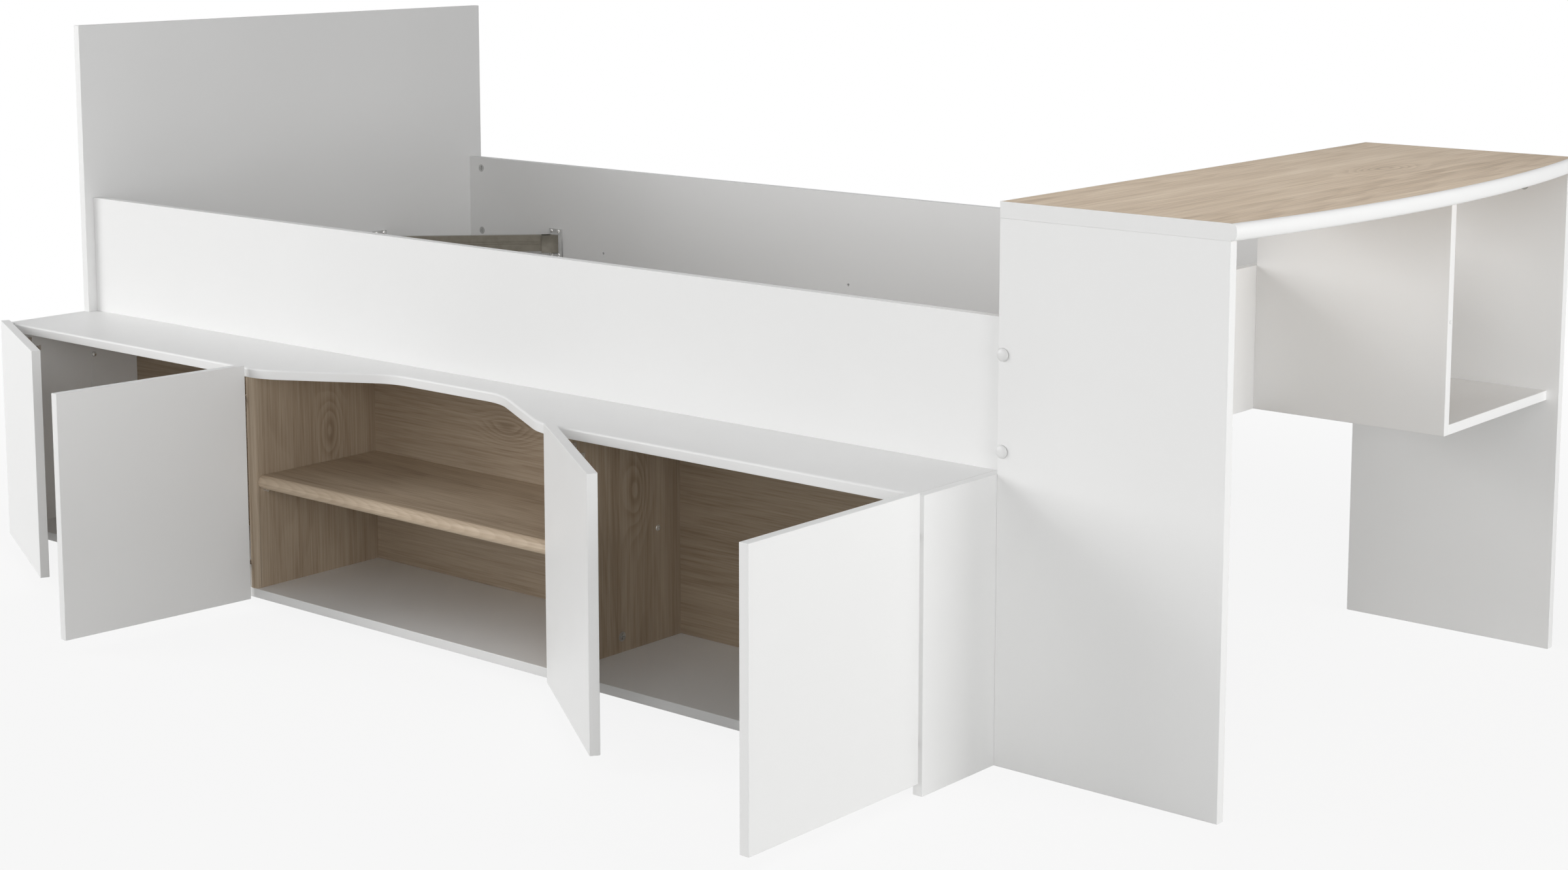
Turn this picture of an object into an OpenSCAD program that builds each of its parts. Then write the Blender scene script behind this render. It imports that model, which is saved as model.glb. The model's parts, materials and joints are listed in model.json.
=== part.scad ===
// Low cabin bed: a single bed with a storage cabinet along its front and a desk across its foot end.
// Site frame of the pieces: x = 0 is the bed side of the footboard, y = 0 the outer face of the front
// desk side, z = 0 the floor. The bed lies towards -x, the cabinet and its doors towards -y.

/* [Boards] */
// Thickness of the plain boards and of the doors
board_t = 15; // [13:0.5:18]
// Thickness of the desk top
desk_top_t = 22; // [18:1:28]
// Thickness of the cabinet top
cab_top_t = 16; // [14:0.5:20]
// Thickness of the two dividers
divider_t = 20; // [18:1:25]
// Thickness of the niche shelf
shelf_t = 22; // [16:1:26]
// Thickness of the thin edging on the desk top
edge_t = 1; // [0.5:0.5:3]

/* [Bed] */
// Clear length between headboard and footboard
bed_len = 2020; // [1900:5:2150]
// How much narrower the headboard is than the desk
head_less = 25.5; // [0:0.5:60]
// Height of the headboard
head_h = 920; // [800:5:1100]
// Height of both bed rails
rail_h = 207; // [170:1:260]
// Setback of the rails from the ends of the headboard
rail_inset = 17.5; // [16:0.5:40]
// Gap between the front rail and the cabinet top
rail_lift = 0.5; // [0.3:0.1:8]
// Height of the top of the four corner braces above the lower edges of the rails
brace_lift = 64.5; // [50:0.5:110]
// Length of each corner brace's leg along the boards
brace_leg = 252; // [180:2:340]
// Height of the brace profile
brace_h = 33; // [20:1:36]
// Thickness of the brace profile
brace_t = 12; // [8:1:18]

/* [Desk] */
// Width across both desk sides
desk_w = 1003.5; // [1000:0.5:1060]
// Depth of the desk sides
desk_d = 345; // [320:5:420]
// Height of the desk
desk_h = 764.5; // [720:0.5:800]
// How far the front edge bows out at its middle
desk_bow = 45; // [25:1:70]
// How far the rounded front edging stands out
edge_bulge = 8; // [5:0.5:10]
// Height of the underside of the footboard and of the desk niche
foot_z = 390; // [340:2:398]
// Clear width of the desk niche
desk_niche_w = 331; // [250:1:400]
// Setback of the desk niche from the front of the sides
desk_niche_set = 19.5; // [5:0.5:40]

/* [Cabinet] */
// Height of the cabinet
cab_h = 401; // [395:1:440]
// How far the cabinet stands out in front of the bed
cab_front = 159.5; // [120:0.5:220]
// Clear depth inside the cabinet
cab_clear = 259; // [235:1:320]
// Height of the underside of the bottom board
cab_floor = 20.5; // [10:0.5:40]
// Clear width of the open niche between the dividers
mid_w = 677; // [600:1:760]
// Height of the top face of the niche shelf
shelf_top = 222; // [180:1:260]
// Setback of the niche shelf from the cabinet front
shelf_set = 8; // [4:1:30]
// Depth of the curved recess in the cabinet top
recess_d = 112; // [70:1:125]
// Width of the straight bottom of the recess
recess_w = 246; // [150:2:280]
// Slope of the recess flanks in degrees
recess_a = 30; // [24:1:36]
// Radius of the four bends of the recess
recess_r = 120; // [60:5:130]

/* [Doors] */
// Opening angle of the outer left door in degrees
door_angle_1 = 25; // [0:1:105]
// Opening angle of the inner left door in degrees
door_angle_2 = 85; // [0:1:105]
// Opening angle of the inner right door in degrees
door_angle_3 = 35; // [0:1:105]
// Opening angle of the outer right door in degrees
door_angle_4 = 90; // [0:1:105]
// Gap between the two doors of a pair
door_gap = 3; // [2:0.5:6]
// Gap between a closed door and the boards behind it
door_air = 1; // [0.8:0.1:2]
// Setback of the doors from the outer faces of the cabinet ends
door_edge = 0.5; // [0.5:0.5:2]
// How far the doors stand above the cabinet top
door_rise = 5; // [0:0.5:10]
// How far the doors reach below the bottom board
door_drop = 0.5; // [0:0.5:6]

/* [Hinges] */
// Distance of the swing axis from the hinge edge of the door, inside the door
pivot_in = 3; // [2:0.5:3]
// Depth of the swing axis behind the outer face of the door
pivot_deep = 4; // [3.5:0.5:5]
// Distance of each hinge from the end of the door
hinge_end = 56; // [50:1:90]
// Diameter of the hinge cup
cup_d = 35; // [33:1:38]
// Depth of the hinge cup in the door
cup_deep = 11.5; // [11:0.5:12]
// Distance of the cup's rim from the hinge edge of the door
cup_edge = 3.5; // [3:0.5:5]
// Wall of the hinge cup
cup_wall = 1; // [0.8:0.1:1.2]

/* [Hidden] */

$fn = 48;
cut = 1;                                        // overrun of every cut
white = [0.93, 0.93, 0.92];
oak = [0.70, 0.60, 0.48];
steel = [0.66, 0.66, 0.64];
grey = [0.42, 0.41, 0.36];
wood = [0.80, 0.68, 0.48];

// Places of the boards
head_w = desk_w - head_less;                    // width of the headboard
x_head = -bed_len;                              // inner face of the headboard
x_out = x_head - board_t;                       // outer face of the headboard
y_far = desk_w - board_t;                       // inner face of the back desk side
rail_z = cab_h + rail_lift;
rail_top = rail_z + rail_h;
y_rail_f = rail_inset;                          // outer face of the front rail
y_rail_b = head_w - rail_inset - board_t;       // inner face of the back rail
side_h = desk_h - desk_top_t;
y_wall = y_far - desk_niche_w - board_t;        // near face of the desk niche wall
niche_x = desk_d - desk_niche_set;              // front of the desk niche
y_cab = -cab_front;                             // front plane of the cabinet
y_back = y_cab + cab_clear;                     // front face of the cabinet back
x_end = -board_t;                               // inner face of the right cabinet end
x_mid = x_out / 2;
x_div_l = x_mid - mid_w / 2 - divider_t;        // left face of the left divider
x_div_r = x_mid + mid_w / 2;                    // left face of the right divider
floor_top = cab_floor + board_t;
ceiling = cab_h - cab_top_t;
shelf_z = shelf_top - shelf_t;
desk_mid = desk_w / 2;
bow_r = (desk_mid * desk_mid + desk_bow * desk_bow) / (2 * desk_bow);

// Places of the doors, numbered from the left: 1 and 3 hang at their left edge, 2 and 4 at their right
overlay = board_t - door_edge;
door_z = cab_floor - door_drop;
door_h = cab_h + door_rise - door_z;
y_door = y_cab - door_air - board_t;            // outer face of the closed doors
hang = [-1, 1, -1, 1];
pivot_side = -pivot_in;                         // the swing axis, measured out of the door
pivot_front = -pivot_deep;
opened = [door_angle_1, door_angle_2, door_angle_3, door_angle_4];
x_edge = [x_out + door_edge, x_div_l + overlay, x_div_r + divider_t - overlay, -door_edge];
door_w = (x_edge[1] - x_edge[0] - door_gap) / 2;
y_axis = y_door - pivot_front;
x_axis = [for (i = [0 : 3]) x_edge[i] + hang[i] * pivot_side];
hinge_z = [door_z + hinge_end, door_z + door_h - hinge_end];

// Lowest y of an open door, by its free edge, and how far the corner at its hinge swings out
function reach(a) = (door_w + pivot_side) * sin(a) - pivot_front * cos(a);
function swing(a) = pivot_in * cos(a) + pivot_deep * sin(a);
y_low = y_axis - max([for (a = opened) reach(a)]);
x_low = min(x_out, x_axis[0] - swing(opened[0]));
x_high = desk_d + desk_bow + edge_bulge;

// Hinge: a cup in the door, a channel on the board, and a strap that runs out of it as the door opens
door_in = pivot_front + board_t;                // inner face of the door, from the axis
face_x = pivot_side + overlay;                  // face of the board that carries the channel
cup_e = cup_edge + cup_d / 2;
hinge_clear = 0.3;
strap_x = max(norm([pivot_side + cup_edge + cup_wall, door_in]), face_x) + hinge_clear;
strap_w = 3;
strap_h = 8;
strap_len = 70;
strap_tip = door_in - cup_deep + cup_wall + hinge_clear;
strap_rate_share = 1.02;
strap_rate = strap_x * PI / 180 * strap_rate_share;     // strap travel for a degree of swing
channel_y = 24;
channel_len = 30;
channel_wall = 1.5;
foot_len = 18;
foot_h = 16;
foot_screw_d = 3.5;
foot_screw_len = 12;
head_d = 7;
head_t = 1.6;
ear_w = 2 * (cup_e - overlay - 2 * hinge_clear);
ear_h = 62;
ear_t = 1.2;
ear_screw_d = 3;
ear_screw_len = 10;
ear_screw_z = 25;

// Fittings
cam_d = 15;
cam_h = 12;
cam_in = 34;                                    // cam centre from the end of its board
upright_cam_in = 24;                            // the same in the dividers and the desk sides
cam_bolt_d = 6;
cam_slot_d = 7;
cam_thread = 10;                                // bolt length in the other board
dowel_d = 8;
dowel_in = 10;                                  // dowel depth in a face
dowel_out = 20;                                 // dowel depth in an edge
bolt_d = 6;
bolt_in = 38;                                   // bolt length in the edge of the footboard
bolt_drop = 24;                                 // bolts below the cams of the rails
bolt_head_d = 13;
bolt_head_t = 2.5;
nut_d = 10;
cap_d = 18;
cap_t = 5;
pilot_d = 5;
pilot_deep = 10;
pin_d = 5;
pin_out = 9;
shelf_play = 0.3;

// Origin: bottom centre of the whole bed's box, with its doors as they stand open
origin = [-(x_low + x_high) / 2, -(y_low + desk_w + cap_t) / 2, 0];

module site() {
    translate(origin) children();
}

module aim(dir) {
    turn = dir == "x" ? [0, 90, 0] : dir == "-x" ? [0, -90, 0] : dir == "y" ? [-90, 0, 0]
        : dir == "-y" ? [90, 0, 0] : dir == "-z" ? [180, 0, 0] : [0, 0, 0];
    rotate(turn) children();
}

module box(low, high) {
    translate(low) cube(high - low);
}

module rod(at, dir, d, h) {
    translate(at) aim(dir) cylinder(d = d, h = h);
}

// A cam joint: at is the point where the bolt leaves the face of the other board, dir points into the
// board that holds the cam, side is the direction out of the face in which the cam is set, then come that
// face's distance from the board's middle and the cam's distance from its end
function step(dir) = dir == "x" ? [1, 0, 0] : dir == "-x" ? [-1, 0, 0] : dir == "y" ? [0, 1, 0]
    : dir == "-y" ? [0, -1, 0] : dir == "-z" ? [0, 0, -1] : [0, 0, 1];

module cam_hole(j) {
    translate(j[0] + j[4] * step(j[1]) + (j[3] - cam_h) * step(j[2])) aim(j[2])
        cylinder(d = cam_d, h = cam_h + cut);
    rod(j[0] - cut * step(j[1]), j[1], cam_slot_d, j[4] + cut);
}

module cam_thread_hole(j) {
    rod(j[0] - cam_thread * step(j[1]), j[1], pilot_d, cam_thread + cut);
}

module cam(j) {
    difference() {
        translate(j[0] + j[4] * step(j[1]) + (j[3] - cam_h) * step(j[2])) aim(j[2])
            cylinder(d = cam_d, h = cam_h);
        rod(j[0], j[1], cam_slot_d, j[4] + cam_slot_d / 2);
        translate(j[0] + j[4] * step(j[1]) + (j[3] - cross_deep) * step(j[2])) aim(j[2]) cross();
    }
}
cross_deep = 2;
cross_w = 1.6;
cross_len = 9;
module cross() {
    translate([-cross_len / 2, -cross_w / 2, 0]) cube([cross_len, cross_w, cross_deep + cut]);
    translate([-cross_w / 2, -cross_len / 2, 0]) cube([cross_w, cross_len, cross_deep + cut]);
}

module cam_bolt(j) {
    rod(j[0] - cam_thread * step(j[1]), j[1], pilot_d, cam_thread);
    rod(j[0], j[1], cam_bolt_d, j[4]);
}

// A dowel: at is the point where the boards meet, dir points into the board that it enters by its edge
module dowel(j) {
    rod(j[0] - dowel_in * step(j[1]), j[1], dowel_d, dowel_in + dowel_out);
}

// Cam joints of the rails: at the headboard and at the footboard
cam_low = 54.5;
cam_high = 22.5;
rail_cam_z = [rail_z + cam_low, rail_top - cam_high];
half = board_t / 2;
front_cams = [for (z = rail_cam_z) for (e = [0, 1])
    [[e == 0 ? x_head : 0, y_rail_f + half, z], e == 0 ? "x" : "-x", "y", half, cam_in]];
back_cams = [for (z = rail_cam_z) for (e = [0, 1])
    [[e == 0 ? x_head : 0, y_rail_b + half, z], e == 0 ? "x" : "-x", "-y", half, cam_in]];
rail_dowel_z = (rail_cam_z[0] + rail_cam_z[1]) / 2;
function rail_dowels(y) = [for (e = [0, 1]) [[e == 0 ? x_head : 0, y, rail_dowel_z], e == 0 ? "x" : "-x"]];
front_dowels = rail_dowels(y_rail_f + half);
back_dowels = rail_dowels(y_rail_b + half);

// Cam joints of the cabinet: the boards run between the ends, the dividers between the boards
cab_mid_y = (y_cab + y_back) / 2;
cab_near_y = (y_cab + cab_mid_y) / 2;
cab_far_y = (y_back + cab_mid_y) / 2;
top_half = cab_top_t / 2;
top_cams = [for (y = [cab_near_y, cab_far_y]) for (e = [0, 1])
    [[e == 0 ? x_head : x_end, y, ceiling + top_half], e == 0 ? "x" : "-x", "-z", top_half, cam_in]];
bottom_cams = [for (y = [cab_near_y, cab_far_y]) for (e = [0, 1])
    [[e == 0 ? x_head : x_end, y, cab_floor + half], e == 0 ? "x" : "-x", "-z", half, cam_in]];
div_half = divider_t / 2;
left_div_cams = [for (e = [0, 1])
    [[x_div_l + div_half, cab_mid_y, e == 0 ? floor_top : ceiling], e == 0 ? "z" : "-z", "-x",
        div_half, upright_cam_in]];
right_div_cams = [for (e = [0, 1])
    [[x_div_r + div_half, cab_mid_y, e == 0 ? floor_top : ceiling], e == 0 ? "z" : "-z", "x",
        div_half, upright_cam_in]];
left_div_dowels = [for (y = [cab_near_y, cab_far_y]) for (e = [0, 1])
    [[x_div_l + div_half, y, e == 0 ? floor_top : ceiling], e == 0 ? "z" : "-z"]];
right_div_dowels = [for (y = [cab_near_y, cab_far_y]) for (e = [0, 1])
    [[x_div_r + div_half, y, e == 0 ? floor_top : ceiling], e == 0 ? "z" : "-z"]];
back_share = [0.1, 0.37, 0.63, 0.9];
cab_back_dowels = [for (s = back_share) for (e = [0, 1])
    [[x_head + s * (x_end - x_head), y_back + half, e == 0 ? floor_top : ceiling], e == 0 ? "z" : "-z"]];
end_seam_z = [cab_h / 4, cab_h * 3 / 4];
end_seam_dowels = [for (z = end_seam_z) [[x_head - half, 0, z], "-y"]];

// Joints of the desk
desk_cam_x = [desk_d / 5, desk_d * 4 / 5];
side_front_cams = [for (x = desk_cam_x) [[x, half, side_h], "-z", "y", half, upright_cam_in]];
side_back_cams = [for (x = desk_cam_x) [[x, y_far + half, side_h], "-z", "-y", half, upright_cam_in]];
desk_bolt_z = [for (z = rail_cam_z) z - bolt_drop];
niche_mid_z = (foot_z + side_h) / 2;
niche_foot_dowels = [for (z = [foot_z + cam_in, niche_mid_z]) [[board_t, y_wall + half, z], "x"]];
niche_top_dowels = [for (x = desk_cam_x) [[x, y_wall + half, side_h], "-z"]];
niche_shelf_dowels = [for (x = desk_cam_x) for (e = [0, 1])
    [[x, e == 0 ? y_wall + board_t : y_far, foot_z + half], e == 0 ? "y" : "-y"]];

module dowels_of(list) {
    for (j = list) dowel(j);
}

module headboard() {
    color(white) site() difference() {
        box([x_out, 0, 0], [x_head, head_w, head_h]);
        for (j = front_cams) if (j[1] == "x") cam_thread_hole(j);
        for (j = back_cams) if (j[1] == "x") cam_thread_hole(j);
        for (j = top_cams) if (j[1] == "x") cam_thread_hole(j);
        for (j = bottom_cams) if (j[1] == "x") cam_thread_hole(j);
        dowel(front_dowels[0]);
        dowel(back_dowels[0]);
        dowels_of(end_seam_dowels);
        for (y = [y_rail_f + board_t + brace_leg, y_rail_b - brace_leg]) brace_pilots([x_head, y, 0], "-x");
    }
}

module footboard() {
    color(white) site() difference() {
        box([0, board_t, foot_z], [board_t, y_far, rail_top]);
        for (j = front_cams) if (j[1] == "-x") cam_thread_hole(j);
        for (j = back_cams) if (j[1] == "-x") cam_thread_hole(j);
        dowel(front_dowels[1]);
        dowel(back_dowels[1]);
        dowels_of(niche_foot_dowels);
        for (z = desk_bolt_z) desk_bolt_holes(z);
        for (y = [y_rail_f + board_t + brace_leg, y_rail_b - brace_leg]) brace_pilots([0, y, 0], "x");
    }
}

pilot_share = [0.19, 0.5, 0.81];
pilot_low = 38;
pilot_z = rail_z + pilot_low;
module rail(y, cams, ends, face, in) {
    difference() {
        box([x_head, y, rail_z], [0, y + board_t, rail_top]);
        for (j = cams) cam_hole(j);
        dowels_of(ends);
        for (s = pilot_share) rod([x_head * s, face, pilot_z], in, pilot_d, pilot_deep);
        for (x = [x_head + brace_leg, -brace_leg]) brace_pilots([x, face, 0], in);
    }
}

module front_rail() {
    color(white) site() rail(y_rail_f, front_cams, front_dowels, y_rail_f + board_t, "-y");
}

module back_rail() {
    color(white) site() rail(y_rail_b, back_cams, back_dowels, y_rail_b, "y");
}

// Corner braces: local x runs along the rail and local y along the end board, away from the corner
plate_t = 4;
plate_w = 34;
plate_over = 12;
sleeve_t = 3;
sleeve_len = 18;
brace_screw_d = 4;
brace_screw_len = 10;
brace_screw_side = 10;
brace_top = rail_z + brace_lift;
brace_z = brace_top - brace_h;
brace_head_d = 7.5;
brace_head_t = 2;
brace_head_clear = 0.8;
brace_screw_out = sleeve_t + brace_head_clear + brace_head_d / 2;
brace_screw_z = [brace_z - brace_screw_out, brace_top + brace_screw_out];

module corner(foot, back) {
    at = [foot ? 0 : x_head, back ? y_rail_b : y_rail_f + board_t, 0];
    translate(at) turned(foot, back) children();
}

module turned(foot, back) {
    if (foot && back) rotate([0, 0, 180]) children();
    if (foot && !back) mirror([1, 0, 0]) children();
    if (!foot && back) mirror([0, 1, 0]) children();
    if (!foot && !back) children();
}

brace_gap = plate_t + brace_t / 2 * sqrt(2);    // clear of the plates at both ends
module profile(d, h, low) {
    translate([0, brace_leg, low]) rotate([0, 0, -45])
        translate([brace_gap, -d / 2, 0]) cube([brace_leg * sqrt(2) - 2 * brace_gap, d, h]);
}

groove_w = 2.4;
groove_deep = 1;
module brace(foot, back) {
    color(grey) site() corner(foot, back) difference() {
        profile(brace_t, brace_h, brace_z);
        for (s = [-1, 1]) translate([0, 0, brace_z + brace_h / 2 + s * groove_w - groove_w / 2])
            translate([0, brace_leg, 0]) rotate([0, 0, -45]) translate([0, brace_t / 2 - groove_deep, 0])
            cube([brace_leg * sqrt(2), cut + groove_deep, groove_w]);
        translate([0, brace_leg, brace_z + sleeve_t]) rotate([0, 0, -45])
            translate([0, sleeve_t / 2 - brace_t / 2, 0])
            cube([brace_leg * sqrt(2), brace_t - sleeve_t, brace_h - 2 * sleeve_t]);
    }
}
module brace_head_front() { brace(false, false); }
module brace_head_back() { brace(false, true); }
module brace_foot_front() { brace(true, false); }
module brace_foot_back() { brace(true, true); }

// One bracket: a plate on the board and a saddle under the end of the profile, open above
module bracket() {
    difference() {
        union() {
            translate([brace_leg - plate_w / 2, 0, brace_z - plate_over])
                cube([plate_w, plate_t, brace_h + 2 * plate_over]);
            intersection() {
                translate([brace_leg, 0, brace_z - sleeve_t]) rotate([0, 0, 135])
                    translate([-brace_leg, -brace_t / 2 - sleeve_t, 0])
                    cube([brace_leg + brace_gap + sleeve_len, brace_t + 2 * sleeve_t, brace_h + sleeve_t]);
                translate([brace_leg / 2, 0, 0]) cube([brace_leg, brace_leg, brace_top + brace_h]);
            }
        }
        profile(brace_t, brace_h, brace_z);
        for (z = brace_screw_z) for (s = [-1, 1])
            rod([brace_leg + s * brace_screw_side, 0, z], "y", brace_screw_d, plate_t + cut);
    }
}

module each_bracket() {
    for (foot = [false, true]) for (back = [false, true]) corner(foot, back) {
        children();
        flip() children();
    }
}

module flip() {
    rotate([0, 0, 90]) mirror([0, 1, 0]) children();
}

module brace_brackets() {
    color(grey) site() each_bracket() bracket();
}

module brace_screws() {
    color(steel) site() each_bracket() for (z = brace_screw_z) for (s = [-1, 1])
        translate([brace_leg + s * brace_screw_side, 0, z]) {
            rod([0, -brace_screw_len, 0], "y", brace_screw_d, brace_screw_len + plate_t);
            rod([0, plate_t, 0], "y", brace_head_d, brace_head_t);
        }
}

// Pilot bores of one bracket, at the middle of its plate, going in dir
module brace_pilots(at, dir) {
    across = dir == "x" || dir == "-x" ? [0, 1, 0] : [1, 0, 0];
    for (z = brace_screw_z) for (s = [-1, 1])
        rod(at + s * brace_screw_side * across + [0, 0, z] - cut * step(dir), dir, brace_screw_d,
            brace_screw_len + cut);
}

// Desk
module desk_bolt_holes(z) {
    for (e = [0, 1]) {
        rod([half, e == 0 ? -cut : desk_w + cut, z], e == 0 ? "y" : "-y", bolt_d, board_t + bolt_in + cut);
        rod([-cut, e == 0 ? board_t + bolt_in - nut_d / 2 : y_far - bolt_in + nut_d / 2, z], "x", nut_d,
            board_t - nut_skin + cut);
    }
}
nut_skin = 2;

module desk_side(y, cams, shelf_end) {
    difference() {
        box([0, y, 0], [desk_d, y + board_t, side_h]);
        for (j = cams) cam_hole(j);
        for (z = desk_bolt_z) desk_bolt_holes(z);
        if (shelf_end) for (j = niche_shelf_dowels) if (j[1] == "-y") dowel(j);
    }
}

module desk_side_front() {
    color(white) site() desk_side(0, side_front_cams, false);
}

module desk_side_back() {
    color(white) site() desk_side(y_far, side_back_cams, true);
}

// Plan of the desk top, drawn in by an edging's thickness on its three straight sides
module desk_plan(in) {
    intersection() {
        translate([in, in]) square([x_high, desk_w - 2 * in]);
        translate([desk_d + desk_bow - bow_r, desk_mid]) circle(r = bow_r, $fn = 720);
    }
}

module desk_top() {
    color(oak) site() difference() {
        translate([0, 0, side_h]) linear_extrude(desk_top_t) desk_plan(edge_t);
        for (j = side_front_cams) cam_thread_hole(j);
        for (j = side_back_cams) cam_thread_hole(j);
        dowels_of(niche_top_dowels);
    }
}

module desk_front_edging() {
    r = (desk_top_t * desk_top_t / 4 + edge_bulge * edge_bulge) / (2 * edge_bulge);
    color(white) site() intersection() {
        translate([desk_d + desk_bow - bow_r, desk_mid, side_h]) rotate_extrude($fn = 720) intersection() {
            translate([bow_r + edge_bulge - r, desk_top_t / 2]) circle(r = r);
            translate([bow_r, 0]) square([edge_bulge, desk_top_t]);
        }
        box([0, 0, side_h], [x_high, desk_w, desk_h]);
    }
}

module desk_side_edging() {
    color(white) site() translate([0, 0, side_h]) linear_extrude(desk_top_t) difference() {
        desk_plan(0);
        desk_plan(edge_t);
    }
}

module desk_niche_wall() {
    color(white) site() difference() {
        box([board_t, y_wall, foot_z], [niche_x, y_wall + board_t, side_h]);
        dowels_of(niche_foot_dowels);
        dowels_of(niche_top_dowels);
        for (j = niche_shelf_dowels) if (j[1] == "y") dowel(j);
    }
}

module desk_niche_shelf() {
    color(white) site() difference() {
        box([board_t, y_wall + board_t, foot_z], [niche_x, y_far, foot_z + board_t]);
        dowels_of(niche_shelf_dowels);
    }
}

module desk_bolts() {
    color(steel) site() for (z = desk_bolt_z) for (e = [0, 1]) {
        rod([half, e == 0 ? 0 : desk_w, z], e == 0 ? "y" : "-y", bolt_d, board_t + bolt_in);
        rod([half, e == 0 ? 0 : desk_w, z], e == 0 ? "-y" : "y", bolt_head_d, bolt_head_t);
    }
}

module desk_barrel_nuts() {
    color(steel) site() for (z = desk_bolt_z) for (e = [0, 1]) difference() {
        rod([0, e == 0 ? board_t + bolt_in - nut_d / 2 : y_far - bolt_in + nut_d / 2, z], "x", nut_d,
            board_t - nut_skin);
        rod([half, e == 0 ? 0 : desk_w, z], e == 0 ? "y" : "-y", bolt_d, board_t + bolt_in + cut);
    }
}

// Caps over the bolt heads
cap_rim = 2.5;
cap_flat_share = 0.6;
module cap() {
    difference() {
        union() {
            cylinder(d = cap_d, h = cap_rim);
            translate([0, 0, cap_rim])
                cylinder(d1 = cap_d, d2 = cap_d * cap_flat_share, h = cap_t - cap_rim);
        }
        translate([0, 0, -cut]) cylinder(d = bolt_head_d, h = bolt_head_t + cut);
    }
}

module bolt_caps() {
    color(white) site() for (z = desk_bolt_z) for (e = [0, 1])
        translate([half, e == 0 ? 0 : desk_w, z]) aim(e == 0 ? "-y" : "y") cap();
}

// Cabinet
recess_t = recess_r * tan(recess_a / 2);
recess_run = recess_d / tan(recess_a);
flat_half = recess_w / 2;
mouth_half = flat_half + recess_run;
module recess_half() {
    along = recess_t * [cos(recess_a), -sin(recess_a)];
    difference() {
        union() {
            polygon([[0, -cut], [mouth_half, -cut], [mouth_half, 0], [flat_half, recess_d],
                [0, recess_d]]);
            difference() {
                polygon([[mouth_half, 0] - along, [mouth_half, 0], [mouth_half, -cut],
                    [mouth_half + recess_t, -cut], [mouth_half + recess_t, 0]]);
                translate([mouth_half + recess_t, recess_r]) circle(r = recess_r, $fn = 180);
            }
        }
        difference() {
            polygon([[flat_half, recess_d] + along, [flat_half + cut, recess_d],
                [flat_half, recess_d + cut], [flat_half - recess_t, recess_d + cut],
                [flat_half - recess_t, recess_d]]);
            translate([flat_half - recess_t, recess_d - recess_r]) circle(r = recess_r, $fn = 180);
        }
    }
}

module cabinet_top() {
    color(white) site() difference() {
        box([x_head, y_cab, ceiling], [x_end, y_back + board_t, cab_h]);
        translate([x_mid, y_cab, ceiling - cut]) linear_extrude(cab_top_t + 2 * cut) {
            recess_half();
            mirror([1, 0]) recess_half();
        }
        for (j = top_cams) cam_hole(j);
        cam_thread_hole(left_div_cams[1]);
        cam_thread_hole(right_div_cams[1]);
        for (j = left_div_dowels) if (j[1] == "-z") dowel(j);
        for (j = right_div_dowels) if (j[1] == "-z") dowel(j);
        for (j = cab_back_dowels) if (j[1] == "-z") dowel(j);
    }
}

module cabinet_bottom() {
    color(white) site() difference() {
        box([x_head, y_cab, cab_floor], [x_end, y_back + board_t, floor_top]);
        for (j = bottom_cams) cam_hole(j);
        cam_thread_hole(left_div_cams[0]);
        cam_thread_hole(right_div_cams[0]);
        for (j = left_div_dowels) if (j[1] == "z") dowel(j);
        for (j = right_div_dowels) if (j[1] == "z") dowel(j);
        for (j = cab_back_dowels) if (j[1] == "z") dowel(j);
    }
}

// The left end is a short board: behind it the headboard closes the cabinet
module cabinet_end_left() {
    color(white) site() difference() {
        box([x_out, y_cab, 0], [x_head, 0, cab_h]);
        for (j = top_cams) if (j[1] == "x") cam_thread_hole(j);
        for (j = bottom_cams) if (j[1] == "x") cam_thread_hole(j);
        dowels_of(end_seam_dowels);
        arm_pilots(0);
    }
}

module cabinet_end_right() {
    color(white) site() difference() {
        box([x_end, y_cab, 0], [0, y_back + board_t, cab_h]);
        for (j = top_cams) if (j[1] == "-x") cam_thread_hole(j);
        for (j = bottom_cams) if (j[1] == "-x") cam_thread_hole(j);
        arm_pilots(3);
    }
}

// A divider with a half-round front edge
module divider(x, cams, ends, i) {
    difference() {
        union() {
            box([x, y_cab + div_half, floor_top], [x + divider_t, y_back, ceiling]);
            translate([x + div_half, y_cab + div_half, floor_top])
                cylinder(d = divider_t, h = ceiling - floor_top);
        }
        for (j = cams) cam_hole(j);
        dowels_of(ends);
        arm_pilots(i);
        shelf_fixings(x + div_half, i == 1 ? "x" : "-x");
    }
}

module divider_left() {
    color(oak) site() divider(x_div_l, left_div_cams, left_div_dowels, 1);
}

module divider_right() {
    color(oak) site() divider(x_div_r, right_div_cams, right_div_dowels, 2);
}

module cabinet_back() {
    color(oak) site() difference() {
        box([x_head, y_back, floor_top], [x_end, y_back + board_t, ceiling]);
        dowels_of(cab_back_dowels);
    }
}

// The niche shelf rests on two pins in front and is screwed through the dividers at the back
shelf_y = y_cab + shelf_set;
pin_set = 2;                                    // pins behind the rounding of the shelf's front edge
screw_front = 50;                               // screws in front of the cabinet back
pin_y = shelf_y + shelf_t / 2 + pin_set;
screw_y = y_back - screw_front;
shelf_screw_d = 5;
shelf_screw_in = 30;
shelf_head_d = 10;
shelf_head_t = 2;
module niche_shelf() {
    nose = shelf_t / 2;
    color(oak) site() difference() {
        union() {
            box([x_div_l + divider_t + shelf_play, shelf_y + nose, shelf_z],
                [x_div_r - shelf_play, y_back, shelf_top]);
            rod([x_div_l + divider_t + shelf_play, shelf_y + nose, shelf_z + nose], "x", shelf_t,
                mid_w - 2 * shelf_play);
        }
        for (e = [0, 1]) shelf_screw_hole(e);
    }
}

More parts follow.
